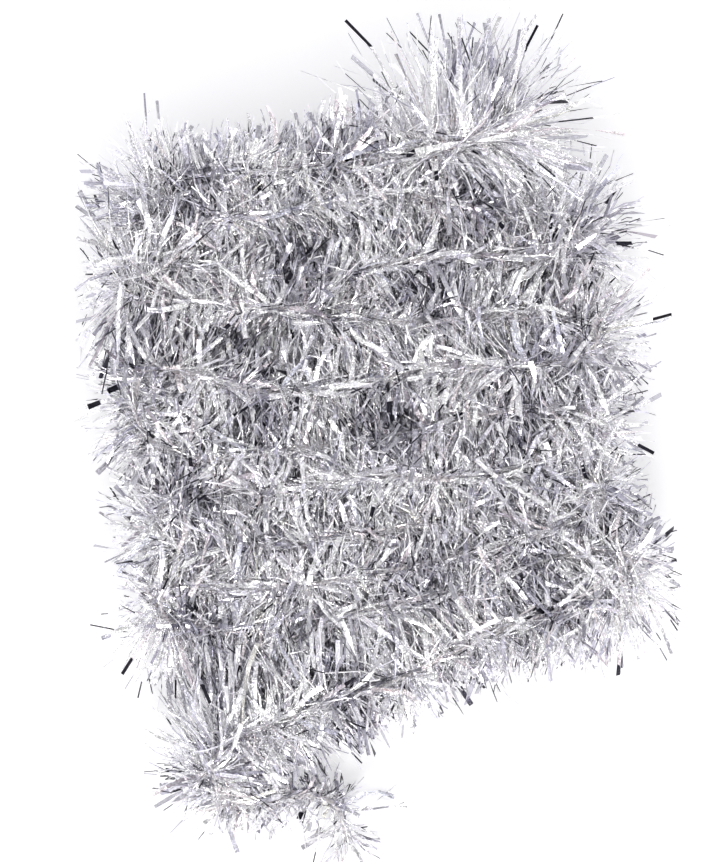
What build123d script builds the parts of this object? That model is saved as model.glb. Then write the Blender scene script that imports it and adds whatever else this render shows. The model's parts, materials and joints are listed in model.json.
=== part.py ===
from build123d import *

import os
from math import atan2, pi, radians, tan
from typing import NamedTuple

# A silver tinsel boa, folded to and fro into a flat hank that lies on a table.
#
# A thin two-ply thread, the core, carries a brush of foil strips all along its length. The core
# makes eleven passes across the hank, joined by eleven half turns, and has a free tufted head
# and a free tail. Each pass is one stiffish length that hinges on its neighbours about the
# upright line just outside their shared half turn, which is how the hank opens out.
#
# X runs across the hank, +Y from the tail to the head, +Z up. The origin is on the table, in
# the middle of the hank's box. All sizes are in millimetres.

os.makedirs("parts", exist_ok=True)


class Fold(NamedTuple):
    """A half turn of the core: the upright line that it opens about, the distance between the
    two passes that it joins, and the core's height there."""

    x: float
    y: float
    pitch: float
    z: float


# ---- Driving dimensions -------------------------------------------------------------------

core_diameter = 2.0
core_clearance = 0.35  # all round the core, inside its fringe
tip_clearance = 0.25  # from the end of each length of core to the fold's middle
neighbour_gap = 0.5  # between the fringes of neighbouring lengths
crown_radius = 4.5  # rounding along the top of each fringe
crown_share = 0.98  # of the largest rounding that an outline has room for, taken up at most
arc_share = 0.45  # of the shorter run beside a corner, taken up by the corner's arc

fringe_height = 60.0
tail_height = 44.0

tuft_centre = (43.0, 108.0)
tuft_radius = 33.0
head_joint_x = 14.4  # where the first pass ends and the loose head begins
top_edge_rise = 10.5  # of the first pass's fringe over its core
lower_edge_drop = 12.5  # of the last pass's fringe under its core
tail_edge_drop = 8.0  # of the tail's fringe under its core
tail_fringe_end_x = -23.0  # the tail's core is bare from here on
tip_wall = 3.0  # of each fringe behind the core's outermost point, where a boundary runs straight

# Folds with odd numbers are on the left, those with even numbers on the right.
folds = {
    1: Fold(-88.6, 91.8, 17.0, 37.0),
    2: Fold(77.5, 78.0, 15.0, 36.0),
    3: Fold(-95.5, 64.0, 17.0, 35.0),
    4: Fold(83.5, 43.0, 15.0, 38.0),
    5: Fold(-94.5, 20.0, 28.0, 36.0),
    6: Fold(81.5, 12.0, 14.0, 35.0),
    7: Fold(-83.0, -23.4, 17.0, 37.0),
    8: Fold(85.5, -14.0, 14.0, 36.0),
    9: Fold(-82.5, -53.6, 17.0, 34.0),
    10: Fold(95.5, -40.0, 14.0, 36.0),
    11: Fold(-64.5, -114.0, 20.0, 30.0),
}

# The core's points between its half turns, from the head's end of the boa to the tail's.
head_points = [(14.4, 108.2, 40.0), (30.0, 110.4, 44.0), (45.0, 115.5, 50.0)]
pass_points = {
    1: [(14.4, 108.2, 40.0), (-12.0, 106.4, 38.0), (-49.0, 101.8, 40.0)],
    2: [(-52.0, 85.0, 40.0), (-12.0, 93.2, 38.0), (10.0, 97.0, 39.0), (40.0, 88.4, 40.0)],
    3: [(45.0, 73.0, 39.0), (14.0, 70.8, 41.0), (-22.0, 63.2, 38.0), (-54.0, 65.8, 39.0)],
    4: [(-61.0, 57.4, 38.0), (-30.0, 51.0, 40.0), (10.0, 47.6, 41.0), (46.0, 50.2, 39.0)],
    5: [
        (54.0, 31.6, 41.0),
        (22.0, 33.4, 42.0),
        (-8.0, 24.6, 40.0),
        (-40.0, 21.4, 41.0),
        (-64.0, 28.8, 38.0),
    ],
    6: [(-62.0, -3.6, 38.0), (-36.0, 1.6, 40.0), (0.0, 5.2, 37.0), (50.0, 17.6, 38.0)],
    7: [
        (52.0, -4.4, 38.0),
        (25.0, -9.2, 41.0),
        (-7.0, -6.8, 40.0),
        (-28.0, -13.0, 38.0),
        (-52.0, -12.2, 36.0),
    ],
    8: [(-52.0, -34.0, 35.0), (-18.0, -30.0, 37.0), (16.0, -26.6, 36.0), (54.0, -10.0, 38.0)],
    9: [(50.0, -31.0, 38.0), (14.0, -39.6, 39.0), (-20.0, -46.8, 40.0), (-55.0, -48.6, 38.0)],
    10: [(-50.0, -62.0, 36.0), (-20.0, -58.6, 38.0), (20.0, -51.6, 37.0), (63.0, -36.2, 38.0)],
    11: [
        (66.0, -54.4, 39.0),
        (33.0, -67.0, 40.0),
        (12.0, -79.6, 38.0),
        (-14.0, -86.4, 39.0),
        (-38.0, -97.0, 36.0),
    ],
}
tail_points = [
    (-41.0, -126.6, 23.0),
    (-24.0, -123.0, 12.0),
    (-13.5, -128.0, 3.0),
    (-11.0, -141.0, 1.6),
]

# Where the boundaries between neighbouring passes bend.
stations = (-58.0, -30.0, 0.0, 30.0, 58.0)


# ---- Plan of the hank ---------------------------------------------------------------------

last_pass = len(pass_points)


def tip_x(number):
    """The core's outermost point in a fold. It lies inside the hinge line by as much as makes
    the half turn's own length reach from pass to pass when the fold is opened flat."""
    fold = folds[number]
    setback = (pi / 2 - 1) * arc_share * fold.pitch
    return fold.x + setback if number % 2 else fold.x - setback


def mouth(number):
    """The straight start of a boundary at its fold: the hinge, and a point behind the core."""
    fold = folds[number]
    inward = 1 if number % 2 else -1
    return [(fold.x, fold.y), (tip_x(number) + inward * tip_wall, fold.y)]


def into_fold(number):
    """The last two points of a length of core that ends in this fold."""
    fold = folds[number]
    return [
        (tip_x(number), fold.y + fold.pitch / 2, fold.z),
        (tip_x(number), fold.y + tip_clearance, fold.z),
    ]


def out_of_fold(number):
    """The first two points of a length of core that starts in this fold."""
    fold = folds[number]
    return [
        (tip_x(number), fold.y - tip_clearance, fold.z),
        (tip_x(number), fold.y - fold.pitch / 2, fold.z),
    ]


def core_y(number, x):
    """How far up the hank a pass of core is at x."""
    points = pass_points[number]
    ends = []
    if number > 1:
        ends.append(out_of_fold(number - 1)[1])
    ends.append(into_fold(number)[0])
    line = sorted((p[0], p[1]) for p in points + ends)
    if x <= line[0][0]:
        return line[0][1]
    for (x0, y0), (x1, y1) in zip(line, line[1:]):
        if x <= x1:
            return y0 + (y1 - y0) * (x - x0) / (x1 - x0)
    return line[-1][1]


def open_end(number, far_number):
    """Where a boundary meets the outside of the hank, between two folds of one side."""
    near, far = folds[number], folds[far_number]
    return ((near.x + far.x) / 2, (near.y + far.y) / 2)


def boundary(number):
    """The line between a pass and the next one, from left to right: from their shared fold,
    half way between the two cores, out to the hank's other side."""
    middle = [(x, (core_y(number, x) + core_y(number + 1, x)) / 2) for x in stations]
    if number == 1:
        other_end = (folds[2].x, folds[2].y + top_edge_rise)
    else:
        other_end = open_end(number - 1, number + 1)
    if number % 2:
        return [*mouth(number), *middle, other_end]
    return [other_end, *middle, *reversed(mouth(number))]


def height_at(line, x):
    """The y of a left-to-right line at x."""
    for (x0, y0), (x1, y1) in zip(line, line[1:]):
        if x <= x1:
            return y0 + (y1 - y0) * (x - x0) / (x1 - x0)
    return line[-1][1]


def part_of(line, low=-1000.0, high=1000.0):
    """The stretch of a left-to-right line between two values of x, with ends of its own."""
    kept = [p for p in line if low < p[0] < high]
    if low > line[0][0]:
        kept.insert(0, (low, height_at(line, low)))
    if high < line[-1][0]:
        kept.append((high, height_at(line, high)))
    return kept


# The first pass's upper edge and the last one's lower edge are the hank's own outline.
top_edge = [
    (folds[1].x, folds[1].y + folds[1].pitch),
    *[(x, core_y(1, x) + top_edge_rise) for x in stations if x < head_joint_x],
    (head_joint_x, core_y(1, head_joint_x) + top_edge_rise),
]
tail_boundary = [
    *mouth(11),
    (tail_points[0][0], (core_y(11, tail_points[0][0]) + tail_points[0][1]) / 2),
    (tail_fringe_end_x, (core_y(11, tail_fringe_end_x) + tail_points[1][1]) / 2),
]
lower_edge = [
    *tail_boundary,
    *[(x, core_y(11, x) - lower_edge_drop) for x in stations if x >= 0],
    (folds[10].x, folds[10].y - folds[10].pitch),
]
below_first = boundary(1)

outlines = {
    "run_01": [*top_edge, *reversed(part_of(below_first, high=head_joint_x))],
    **{
        f"run_{k:02d}": [*boundary(k - 1), *reversed(boundary(k))] for k in range(2, last_pass)
    },
    "run_11": [*boundary(10), *reversed(lower_edge)],
    "tail": [
        *tail_boundary,
        (tail_fringe_end_x, tail_points[1][1] - tail_edge_drop),
        (folds[11].x, folds[11].y - folds[11].pitch / 2 - tail_edge_drop),
    ],
}
head_floor = part_of(below_first, low=head_joint_x)
head_outline = [
    *head_floor,
    (head_floor[-1][0], tuft_centre[1] + 2 * tuft_radius),
    (head_joint_x, tuft_centre[1] + 2 * tuft_radius),
]

routes = {
    "head": head_points,
    "run_01": [*pass_points[1], *into_fold(1)],
    **{
        f"run_{k:02d}": [*out_of_fold(k - 1), *pass_points[k], *into_fold(k)]
        for k in range(2, last_pass + 1)
    },
    "tail": [*out_of_fold(11), *tail_points],
}
# The head's and the first pass's cores share a point; each ends short of it.
joint_step = Vector(*head_points[1]) - Vector(*head_points[0])
routes["head"] = [
    tuple(Vector(*head_points[0]) + joint_step.normalized() * (tip_clearance + neighbour_gap)),
    *head_points[1:],
]
joint_step = Vector(*pass_points[1][1]) - Vector(*pass_points[1][0])
routes["run_01"][0] = tuple(
    Vector(*pass_points[1][0]) + joint_step.normalized() * (tip_clearance + neighbour_gap)
)


# ---- Cores --------------------------------------------------------------------------------


def arc_radii(points):
    """The radius at each corner of a route: as large as its two runs allow. A run that ends in
    the middle of a half turn goes on as far again in the next length of core."""
    vectors = [Vector(*p) for p in points]
    runs = [(b - a).length for a, b in zip(vectors, vectors[1:])]
    if points[0][0] == points[1][0]:
        runs[0] = 2 * (runs[0] + tip_clearance)
    if points[-1][0] == points[-2][0]:
        runs[-1] = 2 * (runs[-1] + tip_clearance)
    radii = []
    for i in range(1, len(vectors) - 1):
        turn = (vectors[i] - vectors[i - 1]).get_angle(vectors[i + 1] - vectors[i])
        radii.append(arc_share * min(runs[i - 1], runs[i]) / tan(radians(turn / 2)))
    return radii


def core_tube(points, diameter, mode=Mode.ADD):
    """A round tube along a route, inside whichever part is being built."""
    with BuildLine(mode=Mode.PRIVATE) as route:
        FilletPolyline(*points, radius=arc_radii(points))
    path = route.wire()
    with BuildSketch(Plane(origin=path @ 0, z_dir=path % 0)) as section:
        Circle(diameter / 2)
    sweep(sections=section.sketch, path=path, mode=mode)
    return path.length


total_length = 0.0
for name, points in routes.items():
    with BuildPart() as core:
        length = core_tube(points, core_diameter)
    core.part.label = f"core_{name}"
    export_step(core.part, f"parts/core_{name}.step")
    total_length += length
    section = pi * core_diameter**2 / 4
    radii = ", ".join(f"{r:.1f}" for r in arc_radii(points))
    print(
        f"core_{name}: length {length:.1f}, volume {core.part.volume:.1f}"
        f" for {section * length:.1f} by section and length, radii {radii}"
    )
print(f"core as a whole: {total_length:.0f}")


# ---- Fringes ------------------------------------------------------------------------------

channel_diameter = core_diameter + 2 * core_clearance


def crown(outline):
    """The rounding along the top of a fringe: no more than its tightest wall has room for. An
    edge shrinks at both ends as the rounding moves in, and the first to vanish sets the limit."""
    corners = [Vector(*point) for point in outline]
    area = sum(a.X * b.Y - b.X * a.Y for a, b in zip(corners, corners[1:] + corners[:1])) / 2
    if area < 0:
        corners.reverse()
    inset = []
    for before, here, after in zip(corners[-1:] + corners, corners, corners[1:] + corners[:1]):
        towards, away = before - here, after - here
        inside = atan2(towards.Y, towards.X) - atan2(away.Y, away.X)
        inset.append(1 / tan((inside % (2 * pi)) / 2))
    limit = crown_radius
    for i, here in enumerate(corners):
        along = (i + 1) % len(corners)
        shrinking = inset[i] + inset[along]
        if shrinking > 0:
            room = (corners[along] - here).length / shrinking - neighbour_gap / 2
            limit = min(limit, crown_share * room)
    return limit


for name, outline in outlines.items():
    with BuildPart() as fringe:
        with BuildSketch(Plane.XY):
            with BuildLine():
                Polyline(*outline, close=True)
            make_face()
            offset(amount=-neighbour_gap / 2)
        extrude(amount=tail_height if name == "tail" else fringe_height)
        fillet(fringe.faces().sort_by(Axis.Z)[-1].edges(), radius=crown(outline))
        core_tube(routes[name], channel_diameter, mode=Mode.SUBTRACT)
    fringe.part.label = f"fringe_{name}"
    export_step(fringe.part, f"parts/fringe_{name}.step")

with BuildPart() as head_fringe:
    with BuildSketch(Plane.XY):
        with Locations(tuft_centre):
            Circle(tuft_radius)
        with BuildLine():
            Polyline(*head_outline, close=True)
        make_face(mode=Mode.INTERSECT)
        offset(amount=-neighbour_gap / 2)
    extrude(amount=fringe_height)
    fillet(head_fringe.faces().sort_by(Axis.Z)[-1].edges(), radius=crown_radius)
    core_tube(routes["head"], channel_diameter, mode=Mode.SUBTRACT)
head_fringe.part.label = "fringe_head"
export_step(head_fringe.part, "parts/fringe_head.step")
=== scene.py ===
import json
import math
from typing import NamedTuple

import bpy
import numpy as np
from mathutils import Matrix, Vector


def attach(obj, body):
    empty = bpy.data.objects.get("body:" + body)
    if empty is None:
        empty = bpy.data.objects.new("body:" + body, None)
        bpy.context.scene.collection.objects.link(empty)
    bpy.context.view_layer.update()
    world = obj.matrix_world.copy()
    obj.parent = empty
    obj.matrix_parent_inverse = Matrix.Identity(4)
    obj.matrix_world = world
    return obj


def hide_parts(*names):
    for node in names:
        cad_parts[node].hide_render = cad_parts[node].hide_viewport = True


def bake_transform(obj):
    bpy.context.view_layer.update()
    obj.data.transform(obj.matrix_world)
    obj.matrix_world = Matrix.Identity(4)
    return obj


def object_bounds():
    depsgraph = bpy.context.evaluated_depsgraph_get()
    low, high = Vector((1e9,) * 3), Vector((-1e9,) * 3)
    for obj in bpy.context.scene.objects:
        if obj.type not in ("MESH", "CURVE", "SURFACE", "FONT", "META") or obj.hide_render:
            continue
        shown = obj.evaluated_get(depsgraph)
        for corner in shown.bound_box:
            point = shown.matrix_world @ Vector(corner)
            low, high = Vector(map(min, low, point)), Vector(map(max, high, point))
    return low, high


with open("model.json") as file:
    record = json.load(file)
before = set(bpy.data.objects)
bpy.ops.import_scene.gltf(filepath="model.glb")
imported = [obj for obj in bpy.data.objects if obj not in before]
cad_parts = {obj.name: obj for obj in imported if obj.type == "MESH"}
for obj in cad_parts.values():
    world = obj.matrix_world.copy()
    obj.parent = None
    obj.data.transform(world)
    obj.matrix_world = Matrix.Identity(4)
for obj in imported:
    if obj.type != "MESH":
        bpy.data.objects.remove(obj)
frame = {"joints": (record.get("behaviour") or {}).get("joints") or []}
cad_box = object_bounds()

bl_info = {
    "name": "Tinsel Boa in a Hank",
    "version": (1, 0, 0),
    "blender": (4, 5, 0),
    "location": "3D View > Sidebar > Boa",
    "description": "Builds a folded tinsel boa: its two-ply core, its foil fringe and a light table",
    "category": "Object",
}

# ---- The hank, from the frame -----------------------------------------------------------
#
# The boa is one core, folded to and fro. Its lengths are the head, eleven passes and the tail.
# Each rides on the body of its own name, and neighbours meet in the folds, at whose hinges
# the hank opens. All lengths are in metres.

PASSES = [f"run_{k:02d}" for k in range(1, 12)]
LENGTHS = ["head", *PASSES, "tail"]
HINGES = {j["name"]: j["pos_m"] for j in frame["joints"]}

# Each fold's distance between its two passes and its core's height.
FOLDS = {
    1: (0.0170, 0.0370),
    2: (0.0150, 0.0360),
    3: (0.0170, 0.0350),
    4: (0.0150, 0.0380),
    5: (0.0280, 0.0360),
    6: (0.0140, 0.0350),
    7: (0.0170, 0.0370),
    8: (0.0140, 0.0360),
    9: (0.0170, 0.0340),
    10: (0.0140, 0.0360),
    11: (0.0200, 0.0300),
}
ARC_SHARE = 0.45  # of the shorter run beside a corner, taken up by the corner's arc
TIP_CLEARANCE = 0.00025  # from the end of each length of core to the fold's middle

# The core's points between its folds.
POINTS = {
    "head": [(0.0144, 0.1082, 0.0400), (0.0300, 0.1104, 0.0440), (0.0450, 0.1155, 0.0500)],
    "run_01": [(0.0144, 0.1082, 0.0400), (-0.0120, 0.1064, 0.0380), (-0.0490, 0.1018, 0.0400)],
    "run_02": [
        (-0.0520, 0.0850, 0.0400),
        (-0.0120, 0.0932, 0.0380),
        (0.0100, 0.0970, 0.0390),
        (0.0400, 0.0884, 0.0400),
    ],
    "run_03": [
        (0.0450, 0.0730, 0.0390),
        (0.0140, 0.0708, 0.0410),
        (-0.0220, 0.0632, 0.0380),
        (-0.0540, 0.0658, 0.0390),
    ],
    "run_04": [
        (-0.0610, 0.0574, 0.0380),
        (-0.0300, 0.0510, 0.0400),
        (0.0100, 0.0476, 0.0410),
        (0.0460, 0.0502, 0.0390),
    ],
    "run_05": [
        (0.0540, 0.0316, 0.0410),
        (0.0220, 0.0334, 0.0420),
        (-0.0080, 0.0246, 0.0400),
        (-0.0400, 0.0214, 0.0410),
        (-0.0640, 0.0288, 0.0380),
    ],
    "run_06": [
        (-0.0620, -0.0036, 0.0380),
        (-0.0360, 0.0016, 0.0400),
        (0.0000, 0.0052, 0.0370),
        (0.0500, 0.0176, 0.0380),
    ],
    "run_07": [
        (0.0520, -0.0044, 0.0380),
        (0.0250, -0.0092, 0.0410),
        (-0.0070, -0.0068, 0.0400),
        (-0.0280, -0.0130, 0.0380),
        (-0.0520, -0.0122, 0.0360),
    ],
    "run_08": [
        (-0.0520, -0.0340, 0.0350),
        (-0.0180, -0.0300, 0.0370),
        (0.0160, -0.0266, 0.0360),
        (0.0540, -0.0100, 0.0380),
    ],
    "run_09": [
        (0.0500, -0.0310, 0.0380),
        (0.0140, -0.0396, 0.0390),
        (-0.0200, -0.0468, 0.0400),
        (-0.0550, -0.0486, 0.0380),
    ],
    "run_10": [
        (-0.0500, -0.0620, 0.0360),
        (-0.0200, -0.0586, 0.0380),
        (0.0200, -0.0516, 0.0370),
        (0.0630, -0.0362, 0.0380),
    ],
    "run_11": [
        (0.0660, -0.0544, 0.0390),
        (0.0330, -0.0670, 0.0400),
        (0.0120, -0.0796, 0.0380),
        (-0.0140, -0.0864, 0.0390),
        (-0.0380, -0.0970, 0.0360),
    ],
    "tail": [
        (-0.0410, -0.1266, 0.0230),
        (-0.0240, -0.1230, 0.0120),
        (-0.0135, -0.1280, 0.0030),
        (-0.0110, -0.1410, 0.0016),
    ],
}

PATH_STEP = 0.0005  # between the points of a path that threads and strips follow
FOLD_REACH = 0.019  # of a fold's own piece of thread, from its middle to each end
NECK_REACH = 0.012  # of the head's piece of thread past its joint, into the first pass
PLY_RADIUS = 0.27  # of the thread's whole diameter
PLY_SIDES = 6
SKIN = 0.03  # share of each side that soft pieces may stand proud of the CAD box
SKIN_M = 0.010  # and this much more
SKIN_MARGIN = 0.0008

SEED = 20
# Seed of the pattern of painted shade in made-up hollows
PAINTED_HOLLOW_SEED = 99


def fold_ends(number):
    """A fold's corner and tip on the side of the pass before it, and on the other side."""
    pitch, height = FOLDS[number]
    x, y, _ = HINGES[f"fold_{number:02d}"]
    setback = (math.pi / 2 - 1) * ARC_SHARE * pitch
    x += setback if number % 2 else -setback
    before = [(x, y + pitch / 2, height), (x, y + TIP_CLEARANCE, height)]
    after = [(x, y - TIP_CLEARANCE, height), (x, y - pitch / 2, height)]
    return before, after


def route(name):
    """All of a length's points, from the head's end of the boa to the tail's."""
    points = list(POINTS[name])
    place = LENGTHS.index(name)
    if place > 1:
        points = fold_ends(place - 1)[1] + points
    if 1 <= place <= len(PASSES):
        points = points + fold_ends(place)[0]
    return points


def smooth_path(points):
    """Evenly spaced points along the smooth NURBS line of a route."""
    curve = bpy.data.curves.new("route", "CURVE")
    curve.dimensions = "3D"
    curve.resolution_u = 32
    spline = curve.splines.new("NURBS")
    spline.points.add(len(points) - 1)
    for spot, point in zip(spline.points, points):
        spot.co = (*point, 1.0)
    spline.order_u = 3
    spline.use_endpoint_u = True
    holder = bpy.data.objects.new("route", curve)
    bpy.context.collection.objects.link(holder)
    line = bpy.data.meshes.new_from_object(holder)
    spots = np.array([v.co for v in line.vertices], float)
    bpy.data.objects.remove(holder)
    bpy.data.curves.remove(curve)
    bpy.data.meshes.remove(line)
    return resampled(spots, PATH_STEP)


def lengths_along(path):
    """How far along a path each of its points is."""
    steps = np.linalg.norm(np.diff(path, axis=0), axis=1)
    return np.concatenate([[0.0], np.cumsum(steps)])


def resampled(path, step):
    """The same line with points about a step apart."""
    along = lengths_along(path)
    count = max(2, int(round(along[-1] / step)) + 1)
    wanted = np.linspace(0.0, along[-1], count)
    return np.stack([np.interp(wanted, along, path[:, k]) for k in range(3)], axis=1)


def unit(vectors):
    """The same directions, one long."""
    return vectors / np.maximum(np.linalg.norm(vectors, axis=-1, keepdims=True), 1e-12)


def frames_along(path):
    """Along a path: its direction, the level direction across it, and the third."""
    tangent = unit(np.gradient(path, axis=0))
    across = unit(np.cross(tangent, [0.0, 0.0, 1.0]))
    return tangent, across, np.cross(across, tangent)


# ---- Meshes -----------------------------------------------------------------------------


def new_piece(name, points, quads, triangles, material, uv=None, tones=None):
    """A mesh object from arrays of points, four-sided faces and three-sided ones."""
    mesh = bpy.data.meshes.new(name)
    mesh.vertices.add(len(points))
    mesh.vertices.foreach_set("co", np.asarray(points, np.float32).ravel())
    corners = np.concatenate([quads.ravel(), triangles.ravel()]).astype(np.int32)
    starts = np.concatenate(
        [np.arange(len(quads)) * 4, len(quads) * 4 + np.arange(len(triangles)) * 3]
    )
    mesh.loops.add(len(corners))
    mesh.loops.foreach_set("vertex_index", corners)
    mesh.polygons.add(len(starts))
    mesh.polygons.foreach_set("loop_start", starts.astype(np.int32))
    mesh.shade_flat()
    mesh.update(calc_edges=True)
    if uv is not None:
        layer = mesh.uv_layers.new(name="OFBake")
        layer.data.foreach_set("uv", np.asarray(uv, np.float32).ravel())
    for tone, values in (tones or {}).items():
        attribute = mesh.attributes.new(tone, "FLOAT", "FACE")
        attribute.data.foreach_set("value", np.asarray(values, np.float32))
    if mesh.validate():
        raise RuntimeError(f"{name} had bad faces")
    mesh.materials.append(material)
    piece = bpy.data.objects.new(name, mesh)
    bpy.context.collection.objects.link(piece)
    return piece


def tubes(lines, radius, sides):
    """Closed round tubes round several lines of points: points, quads and triangles."""
    points, quads, triangles = [], [], []
    turn = np.arange(sides) * 2 * math.pi / sides
    for line in lines:
        _, across, above = frames_along(line)
        ring = (
            line[:, None]
            + radius * np.cos(turn)[None, :, None] * across[:, None]
            + radius * np.sin(turn)[None, :, None] * above[:, None]
        )
        base = sum(len(p) for p in points)
        index = base + np.arange(len(line) * sides).reshape(len(line), sides)
        near, far = index[:-1], index[1:]
        faces = np.stack(
            [near, np.roll(near, -1, 1), np.roll(far, -1, 1), far], axis=-1
        ).reshape(-1, 4)
        ends = np.array([line[0], line[-1]])
        hubs = base + len(line) * sides + np.arange(2)
        first = np.stack([np.full(sides, hubs[0]), np.roll(index[0], -1), index[0]], -1)
        last = np.stack([np.full(sides, hubs[1]), index[-1], np.roll(index[-1], -1)], -1)
        points += [ring.reshape(-1, 3), ends]
        quads.append(faces)
        triangles += [first, last]
    return np.concatenate(points), np.concatenate(quads), np.concatenate(triangles)


def two_ply(path, diameter, lay):
    """The lines of two plies twisted about a path, which together are a diameter thick."""
    _, across, above = frames_along(path)
    turn = lengths_along(path) / lay * 2 * math.pi
    swing = diameter / 4
    offset = np.cos(turn)[:, None] * across + np.sin(turn)[:, None] * above
    return [path + swing * offset, path - swing * offset]


# A facet's tone runs from 0, bright, to 1, dark, and picks its colour: grey and dark facets are
# painted reflections of the dark. Its distance from 1 is multiplied by these, so that a number below
# 1 makes dark facets commoner, and one above 1 makes them rarer.
AT_TIPS = (0.62, 0.30)  # in a strip's last two spans, where dark tips are painted
# Painted shade on facets deep below their root, and painted light on high ones
WHERE_DEEP, WHERE_HIGH = 0.36, 1.45
# Painted shade in the made-up hollows, and painted light between them
IN_PAINTED_HOLLOWS, OFF_PAINTED_HOLLOWS = 0.32, 2.0
DEEP, HIGH = -0.023, -0.002  # heights over a strip's root, between which painted shade gives way to painted light
PAINTED_HOLLOW_SPACING = 0.045  # from one made-up hollow of painted shade to the next, about
PAINTED_HOLLOW_WAVES = 7  # of chance headings, whose sum is the pattern of the painted hollows
WAVE_SUM = 2.2  # beyond which, either way, a place is as darkly or as lightly painted as any


def painted_shade_at(spots, height):
    """How much rarer than usual a dark facet is: painted shade that darkens facets deep below
    their strip's root and in a pattern of made-up hollows, and painted light on high facets."""
    rng = np.random.default_rng([SEED, PAINTED_HOLLOW_SEED])
    lie = np.zeros(spots.shape[:-1])
    for _ in range(PAINTED_HOLLOW_WAVES):
        heading, phase = rng.random(2) * 2 * math.pi
        pace = 2 * math.pi / (PAINTED_HOLLOW_SPACING * (0.7 + 0.6 * rng.random()))
        along = spots[..., 0] * math.cos(heading) + spots[..., 1] * math.sin(heading)
        lie += np.cos(along * pace + phase)
    by_depth = np.interp(height, (DEEP, HIGH), (WHERE_DEEP, WHERE_HIGH))
    return by_depth * np.interp(lie, (-WAVE_SUM, WAVE_SUM), (IN_PAINTED_HOLLOWS, OFF_PAINTED_HOLLOWS))


def fringe_mesh(name, nodes, width, film, twist, rng, material):
    """Foil strips along lines of nodes, shaped (strip, node, xyz). Each is a closed flat band
    with a faint crease, straight between its nodes and turned a little at each."""
    strips, stops, _ = nodes.shape
    direction = unit(np.gradient(nodes, axis=1))
    flat = unit(np.cross(direction[:, 0], rng.normal(size=(strips, 3))))
    rows = []
    for stop in range(stops):
        along = direction[:, stop]
        flat = unit(flat - (flat * along).sum(1, keepdims=True) * along)
        turn = rng.normal(0.0, twist, (strips, 1))
        flat = flat * np.cos(turn) + np.cross(along, flat) * np.sin(turn)
        face = np.cross(along, flat)
        spot, half = nodes[:, stop], width[:, None] / 2
        rows.append(np.stack([spot + flat * half, spot + face * film, spot - flat * half], 1))
    points = np.stack(rows, axis=1)  # strip, node, corner of the section, xyz
    index = np.arange(strips * stops * 3).reshape(strips, stops, 3)
    near, far = index[:, :-1], index[:, 1:]
    quads = np.stack([near, np.roll(near, -1, 2), np.roll(far, -1, 2), far], axis=-1)
    triangles = np.stack([index[:, 0, ::-1], index[:, -1]], axis=1)
    spans = stops - 1
    uv = bake_layout(strips, spans)
    strand = rng.random(strips)
    facet = rng.random((strips, spans))
    # Painted dark reflections are commoner on the strips' last two spans, at their tips
    facet[:, -2:] = 1 - (1 - facet[:, -2:]) * AT_TIPS
    middles = (nodes[:, :-1] + nodes[:, 1:]) / 2
    height = middles[..., 2] - nodes[:, :1, 2]
    # Painted shade: facets low under their strip's root and in made-up hollows are darkened, high
    # ones lightened
    facet = (1 - (1 - facet) * painted_shade_at(middles, height)).clip(0.0, 1.0)
    tones = {
        "strand_tone": np.concatenate([np.repeat(strand, spans * 3), np.repeat(strand, 2)]),
        "facet_tone": np.concatenate([np.repeat(facet.ravel(), 3), np.repeat(strand, 2)]),
    }
    return new_piece(
        name, points.reshape(-1, 3), quads.reshape(-1, 4), triangles.reshape(-1, 3),
        material, uv, tones,
    )


def bake_layout(strips, spans):
    """A place of its own in the unit square for every face of every strip: a cell for each strip,
    with its long faces side by side below and its two small end faces in the margin above."""
    side = math.ceil(math.sqrt(strips))
    cell = 1.0 / side
    corner = np.stack([np.arange(strips) % side, np.arange(strips) // side], 1) * cell
    edge_u = np.linspace(0.06, 0.94, 4)
    edge_v = np.linspace(0.05, 0.88, spans + 1)
    quads = np.empty((strips, spans, 3, 4, 2))
    for k in range(3):
        for j in range(spans):
            quads[:, j, k, 0] = (edge_u[k], edge_v[j])
            quads[:, j, k, 1] = (edge_u[k + 1], edge_v[j])
            quads[:, j, k, 2] = (edge_u[k + 1], edge_v[j + 1])
            quads[:, j, k, 3] = (edge_u[k], edge_v[j + 1])
    quads = quads * cell + corner[:, None, None, None]
    ends = np.empty((strips, 2, 3, 2))
    ends[:, 0] = [(0.10, 0.91), (0.40, 0.91), (0.25, 0.97)]
    ends[:, 1] = [(0.55, 0.91), (0.85, 0.91), (0.70, 0.97)]
    ends = ends * cell + corner[:, None, None]
    return np.concatenate([quads.reshape(-1, 2), ends.reshape(-1, 2)])


# ---- How the strips lie -----------------------------------------------------------------

LOWEST = 0.0003  # of any strip over the table
PARTING = 1.12  # half of the angle round the upright in which the strips lie over
PARTING_SPREAD = 0.60  # of the angle that they fall past it
LAID_OVER = 0.88  # share of the upright strips that do
LONGEST_DOWN = 0.036  # of the strips that hang to the table
HUGGING = 0.20  # share of the strips that run nearly along the core
HUG_LEAN = (2.2, 7.0)  # of theirs, from least to most
PATCH = 0.024  # of core over which the strips lie one way and fill out alike
THINNEST, FULLEST = 0.48, 1.14  # reach in the hollows and in the full patches
AT_FOLDS = 1.18  # where nothing holds them in
COMBED = 0.42  # how far a patch leans along the core
END_SPAN = 0.014  # of core behind a loose end, whose strips sweep forwards
SHORTEST, LONGEST = 0.55, 1.45  # of a strip, against what its place gives it
LEAST_LEVEL = 0.45  # part of a falling strip's direction for which its reach in plan is kept
NARROWEST, WIDEST = 0.5, 1.5  # strip, against the usual width of its cut
UNDERSIDE = -0.5  # below this height on the core's round, no patch changes a strip's length
ROOT_DROOP = 0.4  # share of the droop that acts at the root
TABLE_ZONE = 0.002  # over the table, where strips turn level
LEVEL_RISE = 0.08  # share of their slope that they keep there
DEEPEST_INSET = 0.010  # of strips behind the hank's outer limit
LEAST_SHARE = 0.05  # that a strip is ever shrunk to


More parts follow.
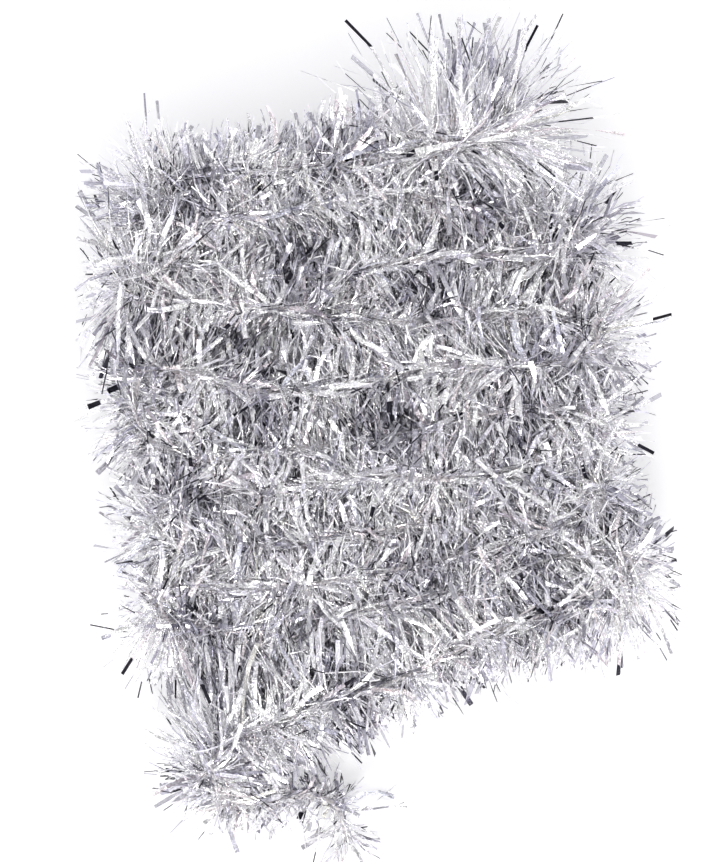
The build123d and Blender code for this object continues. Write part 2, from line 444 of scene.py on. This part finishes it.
class Cut(NamedTuple):
    """One width of strip: the straight spans that it bends in, how much widths differ (a share),
    and how much it turns, kinks and droops at each bend (in radians, or nearly so)."""

    spans: int
    spread: float
    twist: float
    kink: float
    droop: float


FINE = Cut(spans=5, spread=0.15, twist=0.75, kink=0.17, droop=0.50)
BROAD = Cut(spans=4, spread=0.25, twist=0.45, kink=0.14, droop=0.42)


class Habit(NamedTuple):
    """How one length's strips differ from the usual: their reach, its unevenness, their lean
    along the core, number, sweep past a loose end, crowding towards the start, toss (a direction
    that they are pushed in), favour (how much longer those are that point up the hank) and how
    far they stand out in the folds at the start and at the end."""

    reach: float = 1.0
    uneven: float = 0.15
    lean: float = 0.38
    number: float = 1.0
    sweep: float = 0.0
    thinning: float = 1.0
    toss: tuple = (0.0, 0.0, 0.0)
    favour: float = 0.0
    start: float = AT_FOLDS
    end: float = AT_FOLDS


HABITS = {
    "head": Habit(
        reach=1.66, number=1.15, uneven=0.30, sweep=0.8, toss=(-0.22, 0.36, 0.15), favour=0.30
    ),
    "run_01": Habit(favour=0.15, end=1.35),
    "run_02": Habit(favour=0.15, start=1.25, end=1.60),
    "run_03": Habit(start=1.60, end=2.00),
    "run_04": Habit(start=2.00, end=1.35),
    "run_05": Habit(start=1.35),
    "run_08": Habit(end=1.0),
    "run_09": Habit(start=1.0, end=0.95),
    "run_10": Habit(reach=1.20, favour=-0.30, start=0.88, end=1.15),
    "run_11": Habit(reach=1.25, favour=0.05, start=1.40, end=1.25),
    "tail": Habit(reach=0.62, number=0.55, sweep=1.5, thinning=2.2, lean=0.45, start=1.8),
}


def strip_lines(rng, path, count, cut, habit, patches, reach):
    """Lines of nodes for strips that stand out of a core's path like a bottle brush's wires.

    They part along the top of the core and lie over to both sides, some hug the core, and all
    bend down, press flat on the table, and keep inside the room that the hank has."""
    tangent, across, above = frames_along(path)
    place = rng.random(count) ** habit.thinning * (len(path) - 1)
    low = np.floor(place).astype(int)
    high = np.minimum(low + 1, len(path) - 1)
    root = path[low] + (path[high] - path[low]) * (place - low)[:, None]
    tangent, across, above = tangent[low], across[low], above[low]
    turn = rng.random(count) * 2 * math.pi
    hugging = rng.random(count) < HUGGING
    upright = np.abs(turn - math.pi / 2) < PARTING
    laid_over = upright & ~hugging & (rng.random(count) < LAID_OVER)
    side = np.where(rng.random(count) < 0.5, 1.0, -1.0)
    fallen = math.pi / 2 + side * (PARTING + rng.random(count) * PARTING_SPREAD)
    turn = np.where(laid_over, fallen, turn)
    direction = np.cos(turn)[:, None] * across + np.sin(turn)[:, None] * above
    combed, right_fill, left_fill = patches
    marks = np.linspace(0, len(path) - 1, len(combed))
    lean = np.interp(place, marks, combed) + rng.normal(0.0, habit.lean, count)
    hug = side * (HUG_LEAN[0] + rng.random(count) * (HUG_LEAN[1] - HUG_LEAN[0]))
    direction = direction + np.where(hugging, hug, lean)[:, None] * tangent
    off = np.linalg.norm(root - path[-1], axis=1)
    near = np.clip(1 - off / END_SPAN, 0, 1)[:, None]
    direction = direction + near * rng.random((count, 1)) * habit.sweep * tangent
    direction = unit(unit(direction) + np.array(habit.toss) * rng.random((count, 1)))
    reach = reach * habit.reach * (1 + habit.favour * direction[:, 1])
    falling = direction[:, 2] < 0
    level_part = np.where(falling, np.hypot(direction[:, 0], direction[:, 1]), 1.0)
    length = reach / np.maximum(level_part, LEAST_LEVEL)
    length = np.minimum(length, np.maximum(reach, LONGEST_DOWN))
    length = length * rng.normal(1.0, habit.uneven, count).clip(SHORTEST, LONGEST)
    fill = np.where(
        np.cos(turn) > 0, np.interp(place, marks, right_fill), np.interp(place, marks, left_fill)
    )
    length = length * np.where(np.sin(turn) > UNDERSIDE, fill, 1.0)
    step = (length / cut.spans)[:, None]
    spot = root
    nodes = [root]
    for stop in range(cut.spans):
        pull = np.zeros((count, 3))
        pull[:, 2] = -cut.droop * rng.random(count) * (ROOT_DROOP + stop / cut.spans)
        direction = unit(direction + pull + rng.normal(0.0, cut.kink, (count, 3)))
        resting = (spot + direction * step)[:, 2] < LOWEST + TABLE_ZONE
        level = direction.copy()
        level[:, 2] = np.abs(level[:, 2]) * LEVEL_RISE
        direction = np.where(resting[:, None], unit(level + 1e-6), direction)
        spot = spot + direction * step
        nodes.append(spot)
    return kept_inside(np.stack(nodes, axis=1), rng)


def lie_of_patches(place, length, habit):
    """Along one length of the boa: the lean of its patches, and how full they are to each side.
    Fine and broad strips share them."""
    rng = np.random.default_rng([SEED, place])
    count = max(3, int(round(length / PATCH)) + 1)
    lean = rng.normal(0.0, COMBED, count)
    fills = THINNEST + (FULLEST - THINNEST) * rng.random((2, count)) ** 0.6
    fills[:, 0], fills[:, -1] = habit.start, habit.end
    return lean, *fills


def kept_inside(nodes, rng):
    """Strips that would reach out of the hank's room are shrunk towards their roots."""
    low, high = (np.array(corner) for corner in cad_box)
    spare = SKIN * (high - low) + SKIN_M - SKIN_MARGIN
    low, high = low - spare, high + spare
    low[2] = LOWEST
    root = nodes[:, :1]
    inset = rng.random((len(nodes), 1, 1)) ** 2 * DEEPEST_INSET
    reach = nodes - root
    with np.errstate(divide="ignore", invalid="ignore"):
        over = np.where(reach > 0, (high - inset - root) / reach, np.inf)
        under = np.where(reach < 0, (low + inset * (1, 1, 0) - root) / reach, np.inf)
    share = np.minimum(over, under).min(axis=(1, 2)).clip(LEAST_SHARE, 1.0)
    return root + reach * share[:, None, None]


# ---- Materials --------------------------------------------------------------------------

CRINKLE = 0.0025  # from one crease of the film to the next
FIBRE = 0.0004  # from one tuft of the thread's fibres to the next
TABLE_LIFT = 0.34  # white that the table adds for the camera, over what lights it


def linear(hex_colour):
    """An sRGB hex colour as linear red, green, blue and alpha."""
    parts = [int(hex_colour[k : k + 2], 16) / 255 for k in (1, 3, 5)]
    return (*[p / 12.92 if p <= 0.04045 else ((p + 0.055) / 1.055) ** 2.4 for p in parts], 1.0)


def add_node(tree, kind, links=None, **settings):
    """Adds a node with its settings, sets or links its sockets, and returns it. A link's key is
    the socket's name or number; its value is a number, a colour or another node's socket."""
    node = tree.nodes.new(kind)
    for name, value in settings.items():
        setattr(node, name, value)
    for key, value in (links or {}).items():
        if isinstance(value, bpy.types.NodeSocket):
            tree.links.new(value, node.inputs[key])
        else:
            node.inputs[key].default_value = value
    return node


def new_material(name):
    """An empty node material and its tree."""
    material = bpy.data.materials.new(name)
    material.use_nodes = True
    material.node_tree.nodes.clear()
    return material, material.node_tree


def tinted(colour, hex_colour):
    """A linear colour seen through a hex one."""
    return tuple(a * b for a, b in zip(colour, linear(hex_colour)))


def fill_ramp(ramp, stops):
    """Gives a colour ramp its (position, colour) stops, the first at its start."""
    first, second, *others = stops
    for element, (position, colour) in zip(ramp.elements, (first, second)):
        element.position, element.color = position, colour
    for position, colour in others:
        ramp.elements.new(position).color = colour


def metallised_film(name, settings, roughness, dark_share, metal):
    """Polyester film, vacuum-metallised with aluminium and slit: mirror-bright flat facets, faintly
    crinkled. Their colours flick from white to grey and near black as painted reflections of the
    dark, and a rare facet has a painted navy or red glint."""
    material, tree = new_material(name)
    strand = add_node(tree, "ShaderNodeAttribute", attribute_name="strand_tone")
    facet = add_node(tree, "ShaderNodeAttribute", attribute_name="facet_tone")
    bright, dark = settings.film_colour, tuple(settings.film_painted_dark_reflection)
    colours = add_node(tree, "ShaderNodeValToRGB", {"Fac": strand.outputs["Fac"]})
    colours.color_ramp.interpolation = "CONSTANT"
    tints = [
        (0.0, "#FFFFFF"), (0.35, "#FAF9FD"), (0.60, "#FFFFFF"), (0.80, "#F1F0F8"),
        (0.90, "#FFF8F9"), (0.950, "#EDEEF8"), (0.985, "#9A9AA2"), (0.990, "#FDFCF5"),
    ]
    fill_ramp(colours.color_ramp, [(at, tinted(bright, tint)) for at, tint in tints])
    # Painted reflections by facet: grey and near-black facets for the dark, and rare painted navy
    # and red glints
    painted_reflections = add_node(tree, "ShaderNodeValToRGB", {"Fac": facet.outputs["Fac"]})
    painted_reflections.color_ramp.interpolation = "CONSTANT"
    fill_ramp(painted_reflections.color_ramp, [
        (0.0, linear("#FFFFFF")), (0.60, linear("#FCFBFE")), (0.88, linear("#C0BFC7")),
        (1 - dark_share, dark), (0.9965, linear("#2B3168")), (0.9985, linear("#C8503A")),
    ])
    tint = add_node(
        tree, "ShaderNodeMix",
        {"Factor": 1.0, 6: colours.outputs["Color"], 7: painted_reflections.outputs["Color"]},
        data_type="RGBA",
        blend_type="MULTIPLY",
    )
    dulled = add_node(
        tree, "ShaderNodeMapRange",
        {"Value": facet.outputs["Fac"], "To Min": roughness[0], "To Max": roughness[1]},
    )
    place = add_node(tree, "ShaderNodeTexCoord")
    crinkle = add_node(
        tree, "ShaderNodeTexNoise",
        {"Vector": place.outputs["Object"], "Scale": 1 / CRINKLE, "Detail": 2.0},
    )
    bump = add_node(
        tree, "ShaderNodeBump",
        {"Height": crinkle.outputs["Fac"], "Strength": 0.9, "Distance": 0.0006},
    )
    surface = add_node(
        tree, "ShaderNodeBsdfPrincipled",
        {
            "Base Color": tint.outputs[2],
            "Metallic": metal,
            "Roughness": dulled.outputs["Result"],
            "Normal": bump.outputs["Normal"],
        },
    )
    add_node(tree, "ShaderNodeOutputMaterial", {"Surface": surface.outputs["BSDF"]})
    return material


def spun_thread(name, settings):
    """Polyester staple, spun and two-ply: matt, pale, slightly hairy, with painted shade between
    fibres, in the low places of their bump.
    """
    material, tree = new_material(name)
    place = add_node(tree, "ShaderNodeTexCoord")
    fibres = add_node(
        tree, "ShaderNodeTexNoise",
        {"Vector": place.outputs["Object"], "Scale": 1 / FIBRE, "Detail": 3.0},
    )
    colours = add_node(tree, "ShaderNodeValToRGB", {"Fac": fibres.outputs["Fac"]})
    painted_gap_shade, fibre = tuple(settings.thread_painted_gap_shade), tuple(settings.thread_colour)
    # Painted shade: the low places of the fibres' bump get the darker colour
    fill_ramp(colours.color_ramp, [(0.30, painted_gap_shade), (0.62, fibre)])
    bump = add_node(
        tree, "ShaderNodeBump",
        {"Height": fibres.outputs["Fac"], "Strength": 0.6, "Distance": 0.0002},
    )
    surface = add_node(
        tree, "ShaderNodeBsdfPrincipled",
        {
            "Base Color": colours.outputs["Color"],
            "Roughness": 0.85,
            "Sheen Weight": 0.3,
            "Normal": bump.outputs["Normal"],
        },
    )
    add_node(tree, "ShaderNodeOutputMaterial", {"Surface": surface.outputs["BSDF"]})
    return material


def white_table(name):
    """A matt white laminate table top. What looks at it directly or in a mirror sees it white,
    with the shadow that lies on it."""
    material, tree = new_material(name)
    surface = add_node(
        tree, "ShaderNodeBsdfDiffuse", {"Color": linear("#F2F2F4"), "Roughness": 0.0}
    )
    lift = add_node(tree, "ShaderNodeEmission", {"Color": (1, 1, 1, 1), "Strength": TABLE_LIFT})
    both = add_node(
        tree, "ShaderNodeAddShader", {0: surface.outputs["BSDF"], 1: lift.outputs["Emission"]}
    )
    seen = seen_as_background(tree)
    mix = add_node(
        tree, "ShaderNodeMixShader",
        {0: seen, 1: surface.outputs["BSDF"], 2: both.outputs["Shader"]},
    )
    add_node(tree, "ShaderNodeOutputMaterial", {"Surface": mix.outputs["Shader"]})
    return material


def seen_as_background(tree):
    """1 for rays from the camera and for those that metal or glass has passed on."""
    path = add_node(tree, "ShaderNodeLightPath")
    either = add_node(
        tree, "ShaderNodeMath",
        {0: path.outputs["Is Camera Ray"], 1: path.outputs["Is Glossy Ray"]},
        operation="MAXIMUM",
    )
    every = add_node(
        tree, "ShaderNodeMath",
        {0: either.outputs["Value"], 1: path.outputs["Is Transmission Ray"]},
        operation="MAXIMUM",
    )
    return every.outputs["Value"]


# ---- Settings ---------------------------------------------------------------------------


class BoaSettings(bpy.types.PropertyGroup):
    """The sizes and colours that a user would change."""

    thread_diameter: bpy.props.FloatProperty(
        name="Thread diameter",
        description="Across both plies of the core",
        default=0.0020,
        unit="LENGTH",
    )
    thread_lay: bpy.props.FloatProperty(
        name="Thread lay",
        description="Length of one full turn of the two plies",
        default=0.0044,
        unit="LENGTH",
    )
    filament_width: bpy.props.FloatProperty(
        name="Filament width",
        description="Width of the hair-fine strips",
        default=0.00048,
        unit="LENGTH",
    )
    strip_width: bpy.props.FloatProperty(
        name="Strip width",
        description="Width of the broad strips",
        default=0.0015,
        unit="LENGTH",
    )
    film: bpy.props.FloatProperty(
        name="Film",
        description="Thickness of the film with its crease",
        default=0.00007,
        unit="LENGTH",
    )
    reach: bpy.props.FloatProperty(
        name="Reach",
        description="How far the strips stand out of the core, in plan",
        default=0.0195,
        unit="LENGTH",
    )
    filaments_per_cm: bpy.props.IntProperty(
        name="Filaments per cm",
        description="Hair-fine strips caught in each centimetre of core",
        default=170,
    )
    strips_per_cm: bpy.props.IntProperty(
        name="Strips per cm",
        description="Broad strips caught in each centimetre of core",
        default=64,
    )
    film_colour: bpy.props.FloatVectorProperty(
        name="Film colour",
        description="Of the bright metallised film",
        default=linear("#FFFFFF"),
        subtype="COLOR",
        size=4,
    )
    # Colour of the painted dark reflections on the film's facets
    film_painted_dark_reflection: bpy.props.FloatVectorProperty(
        name="Film shade",
        description="Of the facets that mirror the dark",
        default=linear("#2E2D35"),
        subtype="COLOR",
        size=4,
    )
    thread_colour: bpy.props.FloatVectorProperty(
        name="Thread colour",
        description="Of the core's fibres",
        default=linear("#F3EFF0"),
        subtype="COLOR",
        size=4,
    )
    # Colour of the painted shade between the core's fibres
    thread_painted_gap_shade: bpy.props.FloatVectorProperty(
        name="Thread shade",
        description="Between the core's fibres",
        default=linear("#C9C4C8"),
        subtype="COLOR",
        size=4,
    )


# ---- Operators --------------------------------------------------------------------------

TARGET = (-0.0061, 0.0086, 0.040)  # what the camera looks at
FRAME_WIDTH = 0.2592  # that the picture takes in, at the target
CAMERA_DISTANCE = 0.95
CAMERA_ELEVATION = 87.0
SENSOR = 36.0
TABLE_SIDE = 12.0


class BOA_OT_light_table(bpy.types.Operator):
    """Set up the camera, the white table, the studio lamps and the world"""

    bl_idname = "boa.light_table"
    bl_label = "Light Table"

    def execute(self, context):
        scene = context.scene
        scene.view_settings.view_transform = "Standard"
        self.camera(scene)
        self.table()
        self.world(scene)
        self.lamp("key_softbox", (0.12, -1.05, 0.78), 0.6, 0.5, 6.8, "#FFFCF8")
        self.lamp("fill_softbox", (-1.15, 0.15, 0.75), 0.5, 0.4, 1.6, "#F6F5FD")
        self.lamp("rim_softbox", (0.95, 0.85, 0.80), 0.4, 0.4, 1.2, "#F3F2FD")
        return {"FINISHED"}

    def camera(self, scene):
        data = bpy.data.cameras.new("camera")
        data.sensor_fit = "HORIZONTAL"
        data.sensor_width = SENSOR
        data.lens = SENSOR * CAMERA_DISTANCE / FRAME_WIDTH
        camera = bpy.data.objects.new("camera", data)
        tilt = math.radians(90.0 - CAMERA_ELEVATION)
        camera.location = (
            TARGET[0],
            TARGET[1] - CAMERA_DISTANCE * math.sin(tilt),
            TARGET[2] + CAMERA_DISTANCE * math.cos(tilt),
        )
        camera.rotation_euler = (tilt, 0.0, 0.0)
        scene.collection.objects.link(camera)
        scene.camera = camera

    def table(self):
        half = TABLE_SIDE / 2
        corners = [(-half, -half, 0), (half, -half, 0), (half, half, 0), (-half, half, 0)]
        mesh = bpy.data.meshes.new("table")
        mesh.from_pydata(corners, [], [(0, 1, 2, 3)])
        mesh.materials.append(white_table("matt_white_laminate"))
        table = bpy.data.objects.new("table", mesh)
        bpy.context.collection.objects.link(table)

    def world(self, scene):
        """A white studio: pale at the horizon, with a dim ceiling that foil shows as grey."""
        world = bpy.data.worlds.new("studio")
        world.use_nodes = True
        tree = world.node_tree
        tree.nodes.clear()
        place = add_node(tree, "ShaderNodeTexCoord")
        height = add_node(tree, "ShaderNodeSeparateXYZ", {0: place.outputs["Generated"]})
        ramp = add_node(tree, "ShaderNodeValToRGB", {"Fac": height.outputs["Z"]})
        ramp.color_ramp.interpolation = "EASE"
        fill_ramp(ramp.color_ramp, [
            (0.0, (1, 1, 1, 1)), (0.60, (1, 1, 1, 1)),
            (0.90, (0.95, 0.95, 0.97, 1)), (0.99, (0.55, 0.55, 0.58, 1)),
        ])
        panels = add_node(
            tree, "ShaderNodeTexNoise",
            {"Vector": place.outputs["Generated"], "Scale": 2.6, "Detail": 1.0},
        )
        contrast = add_node(
            tree, "ShaderNodeMapRange",
            {
                "Value": panels.outputs["Fac"],
                "From Min": 0.40, "From Max": 0.60, "To Min": 0.37, "To Max": 1.47,
            },
        )
        path = add_node(tree, "ShaderNodeLightPath")
        dim = add_node(
            tree, "ShaderNodeBackground",
            {"Color": ramp.outputs["Color"], "Strength": contrast.outputs["Result"]},
        )
        white = add_node(tree, "ShaderNodeBackground", {"Color": (1, 1, 1, 1)})
        mix = add_node(
            tree, "ShaderNodeMixShader",
            {
                0: path.outputs["Is Camera Ray"],
                1: dim.outputs["Background"],
                2: white.outputs["Background"],
            },
        )
        add_node(tree, "ShaderNodeOutputWorld", {"Surface": mix.outputs["Shader"]})
        scene.world = world

    def lamp(self, name, place, width, depth, power, colour):
        data = bpy.data.lights.new(name, "AREA")
        data.shape = "RECTANGLE"
        data.size, data.size_y = width, depth
        data.energy = power
        data.color = linear(colour)[:3]
        lamp = bpy.data.objects.new(name, data)
        lamp.location = place
        aim = np.array(TARGET) - np.array(place)
        lamp.rotation_euler = (
            math.atan2(math.hypot(aim[0], aim[1]), -aim[2]),
            0.0,
            math.atan2(-aim[0], aim[1]),
        )
        bpy.context.collection.objects.link(lamp)


def all_paths():
    """Each length's smooth path, by name."""
    return {name: smooth_path(route(name)) for name in LENGTHS}


def cut_path(path, start, stop):
    """The stretch of a path between two distances along it."""
    along = lengths_along(path)
    return path[(along >= start) & (along <= stop)]


class BOA_OT_threads(bpy.types.Operator):
    """Twist the two-ply core, one piece for each pass and one for each fold"""

    bl_idname = "boa.threads"
    bl_label = "Core Threads"

    def execute(self, context):
        settings = context.scene.boa_settings
        material = spun_thread("spun_polyester_thread", settings)
        paths = all_paths()
        ends = {name: lengths_along(path)[-1] for name, path in paths.items()}
        for place, name in enumerate(LENGTHS):
            path = paths[name]
            if name == "head":
                neck = cut_path(paths["run_01"], 0.0, NECK_REACH)[::-1]
                line = np.concatenate([neck[:-1], path])
                piece = self.thread(settings, f"thread_{name}", line, material, "bare")
                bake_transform(piece)
                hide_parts("core_head")
                continue
            start = NECK_REACH if name == "run_01" else FOLD_REACH
            stop = ends[name] if name == "tail" else ends[name] - FOLD_REACH
            line = cut_path(path, start, stop)
            far_end = "bare" if name == "tail" else "object"
            piece = self.thread(settings, f"thread_{name}", line, material, far_end)
            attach(piece, name)
            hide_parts(f"core_{name}")
            if name == "tail":
                continue
            after = LENGTHS[place + 1]
            before_fold = cut_path(path, ends[name] - FOLD_REACH, ends[name])
            after_fold = cut_path(paths[after], 0.0, FOLD_REACH)
            line = np.concatenate([before_fold, after_fold])
            name_of_fold = f"thread_fold_{place:02d}"
            piece = self.thread(settings, name_of_fold, line, material, "object")
            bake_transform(piece)
        return {"FINISHED"}

    def thread(self, settings, name, line, material, far_end):
        """One twisted piece of the core."""
        line = resampled(line, PATH_STEP)
        plies = two_ply(line, settings.thread_diameter, settings.thread_lay)
        ply = settings.thread_diameter * PLY_RADIUS
        piece = new_piece(name, *tubes(plies, ply, PLY_SIDES), material)
        piece.data.shade_smooth()
        return piece


class FringeMaker:
    """What the two fringe operators share: one piece of strips for each length of the boa."""

    def build(self, context, kind, cut, width, per_cm, material):
        settings = context.scene.boa_settings
        for place, name in enumerate(LENGTHS):
            rng = np.random.default_rng([SEED, place, cut.spans, per_cm])
            path = smooth_path(route(name))
            length = lengths_along(path)[-1]
            habit = HABITS.get(name, Habit())
            patches = lie_of_patches(place, length, habit)
            count = int(per_cm * length * 100 * habit.number)
            nodes = strip_lines(rng, path, count, cut, habit, patches, settings.reach)
            widths = width * rng.normal(1.0, cut.spread, count).clip(NARROWEST, WIDEST)
            piece = fringe_mesh(
                f"{kind}_{name}", nodes, widths, settings.film, cut.twist, rng, material
            )
            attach(piece, name)
            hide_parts(f"fringe_{name}")


class BOA_OT_filaments(FringeMaker, bpy.types.Operator):
    """Fill the brush with hair-fine foil strips"""

    bl_idname = "boa.filaments"
    bl_label = "Fine Filaments"

    def execute(self, context):
        settings = context.scene.boa_settings
        material = metallised_film(
            "metallised_film_fine", settings, roughness=(0.14, 0.32), dark_share=0.06, metal=0.92
        )
        width, per_cm = settings.filament_width, settings.filaments_per_cm
        self.build(context, "filaments", FINE, width, per_cm, material)
        return {"FINISHED"}


class BOA_OT_strips(FringeMaker, bpy.types.Operator):
    """Add the broad flat foil strips among the filaments"""

    bl_idname = "boa.strips"
    bl_label = "Broad Strips"

    def execute(self, context):
        settings = context.scene.boa_settings
        material = metallised_film(
            "metallised_film_broad", settings, roughness=(0.10, 0.26), dark_share=0.008, metal=0.95
        )
        width, per_cm = settings.strip_width, settings.strips_per_cm
        self.build(context, "strips", BROAD, width, per_cm, material)
        return {"FINISHED"}


class BOA_PT_panel(bpy.types.Panel):
    """The boa's settings and its operators, in the order that they are used"""

    bl_label = "Tinsel Boa"
    bl_space_type = "VIEW_3D"
    bl_region_type = "UI"
    bl_category = "Boa"

    def draw(self, context):
        settings = context.scene.boa_settings
        for name in BoaSettings.__annotations__:
            self.layout.prop(settings, name)
        for operator in OPERATORS:
            self.layout.operator(operator.bl_idname)


OPERATORS = (BOA_OT_light_table, BOA_OT_threads, BOA_OT_filaments, BOA_OT_strips)
CLASSES = (BoaSettings, *OPERATORS, BOA_PT_panel)


def register():
    for each in CLASSES:
        bpy.utils.register_class(each)
    bpy.types.Scene.boa_settings = bpy.props.PointerProperty(type=BoaSettings)


def unregister():
    del bpy.types.Scene.boa_settings
    for each in reversed(CLASSES):
        bpy.utils.unregister_class(each)


def main():
    """Builds everything in order."""
    register()
    bpy.ops.boa.light_table()
    bpy.ops.boa.threads()
    bpy.ops.boa.filaments()
    bpy.ops.boa.strips()


if __name__ == "__main__":
    main()
